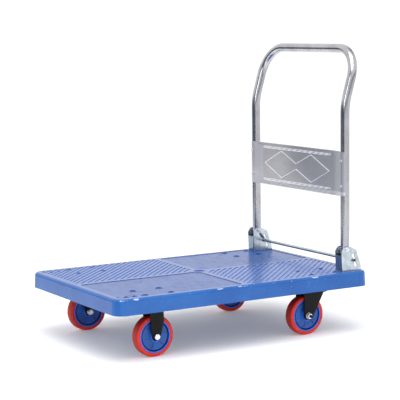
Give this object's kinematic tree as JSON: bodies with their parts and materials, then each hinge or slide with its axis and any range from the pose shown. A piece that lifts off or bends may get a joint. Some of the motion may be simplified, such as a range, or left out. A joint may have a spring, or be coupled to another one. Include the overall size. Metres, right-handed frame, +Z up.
{
  "type": "folding platform cart",
  "caption": "Platform cart with a moulded deck, fold-down tube handle with pressed panel, rigid and swivel casters.",
  "frame": {"origin": "on the floor under the middle of the deck", "axes": "+X along the deck to the handle end, +Y to the right-hand side of the person pushing, +Z up"},
  "size_m": [0.9, 0.6, 0.9065],
  "materials": {
    "deck_plastic": "semi-gloss moulded polypropylene",
    "badge_plastic": "smooth moulded plastic",
    "zinc_fastener": "bright zinc",
    "bracket_zinc": "zinc-plated pressed steel",
    "fork_black": "black powder coat",
    "bearing_steel": "ground steel",
    "axle_chrome": "bright plated",
    "handle_steel": "galvanised tube",
    "panel_steel": "galvanised sheet",
    "foot_plastic": "moulded nylon",
    "rod_steel": "bright drawn steel",
    "spring_steel": "oiled spring wire",
    "tyre_red": "satin polyurethane tread",
    "wheel_blue": "moulded polypropylene",
    "cover_blue": "satin moulded plastic"
  },
  "bodies": {
    "platform": {"deck": "deck_plastic", "deck_medallion": "badge_plastic", "caster_bolts": "zinc_fastener", "caster_nuts": "zinc_fastener", "bracket_bolts": "zinc_fastener", "bracket_nuts": "zinc_fastener", "handle_bracket_left": "bracket_zinc", "handle_bracket_right": "bracket_zinc", "pivot_pin_left": "bracket_zinc", "pivot_pin_right": "bracket_zinc", "fixed_fork_front_left": "fork_black", "fixed_fork_front_right": "fork_black", "axle_bolt_front_left": "axle_chrome", "axle_bolt_front_right": "axle_chrome", "axle_nut_front_left": "axle_chrome", "axle_nut_front_right": "axle_chrome", "axle_sleeve_front_left": "bearing_steel", "axle_sleeve_front_right": "bearing_steel", "swivel_plate_rear_left": "fork_black", "swivel_plate_rear_right": "fork_black", "kingpin_rear_left": "zinc_fastener", "kingpin_rear_right": "zinc_fastener", "swivel_balls_rear_left": "bearing_steel", "swivel_balls_rear_right": "bearing_steel"},
    "handle": {"handle_tube": "handle_steel", "handle_panel": "panel_steel", "panel_rivets": "panel_steel", "pivot_bush_left": "bracket_zinc", "pivot_bush_right": "bracket_zinc", "foot_plug_left": "foot_plastic", "foot_plug_right": "foot_plastic"},
    "release": {"release_rod": "rod_steel", "rod_collars": "bracket_zinc", "latch_spring_left": "spring_steel", "latch_spring_right": "spring_steel"},
    "swivel_left": {"swivel_fork_rear_left": "fork_black", "axle_bolt_rear_left": "axle_chrome", "axle_nut_rear_left": "axle_chrome", "axle_sleeve_rear_left": "bearing_steel"},
    "swivel_right": {"swivel_fork_rear_right": "fork_black", "axle_bolt_rear_right": "axle_chrome", "axle_nut_rear_right": "axle_chrome", "axle_sleeve_rear_right": "bearing_steel"},
    "wheel_front_left": {"tyre_front_left": "tyre_red", "wheel_core_front_left": "wheel_blue", "wheel_covers_front_left": "cover_blue", "bearings_front_left": "bearing_steel"},
    "wheel_front_right": {"tyre_front_right": "tyre_red", "wheel_core_front_right": "wheel_blue", "wheel_covers_front_right": "cover_blue", "bearings_front_right": "bearing_steel"},
    "wheel_rear_left": {"tyre_rear_left": "tyre_red", "wheel_core_rear_left": "wheel_blue", "wheel_covers_rear_left": "cover_blue", "bearings_rear_left": "bearing_steel"},
    "wheel_rear_right": {"tyre_rear_right": "tyre_red", "wheel_core_rear_right": "wheel_blue", "wheel_covers_rear_right": "cover_blue", "bearings_rear_right": "bearing_steel"}
  },
  "joints": [
    {"name": "handle_fold", "type": "hinge", "parent": "platform", "child": "handle", "pos_m": [0.38, 0, 0.2635], "axis": [0, -1, 0], "range_deg": [0, 90]},
    {"name": "release_press", "type": "slide", "parent": "platform", "child": "release", "axis": [0.2282, 0, -0.9736], "range_m": [0, 0.014], "stiffness_N_per_m": 1500, "springref_m": -0.008, "deforming": ["latch_spring_left", "latch_spring_right"]},
    {"name": "swivel_left_turn", "type": "hinge", "parent": "platform", "child": "swivel_left", "pos_m": [0.298, -0.222, 0.147], "axis": [0, 0, 1], "continuous": true},
    {"name": "swivel_right_turn", "type": "hinge", "parent": "platform", "child": "swivel_right", "pos_m": [0.298, 0.222, 0.147], "axis": [0, 0, 1], "continuous": true},
    {"name": "wheel_front_left_roll", "type": "hinge", "parent": "platform", "child": "wheel_front_left", "pos_m": [-0.293, -0.222, 0.0625], "axis": [0, 1, 0], "continuous": true},
    {"name": "wheel_front_right_roll", "type": "hinge", "parent": "platform", "child": "wheel_front_right", "pos_m": [-0.293, 0.222, 0.0625], "axis": [0, 1, 0], "continuous": true},
    {"name": "wheel_rear_left_roll", "type": "hinge", "parent": "swivel_left", "child": "wheel_rear_left", "pos_m": [0.251, -0.222, 0.0625], "axis": [0, 1, 0], "continuous": true},
    {"name": "wheel_rear_right_roll", "type": "hinge", "parent": "swivel_right", "child": "wheel_rear_right", "pos_m": [0.251, 0.222, 0.0625], "axis": [0, 1, 0], "continuous": true}
  ]
}
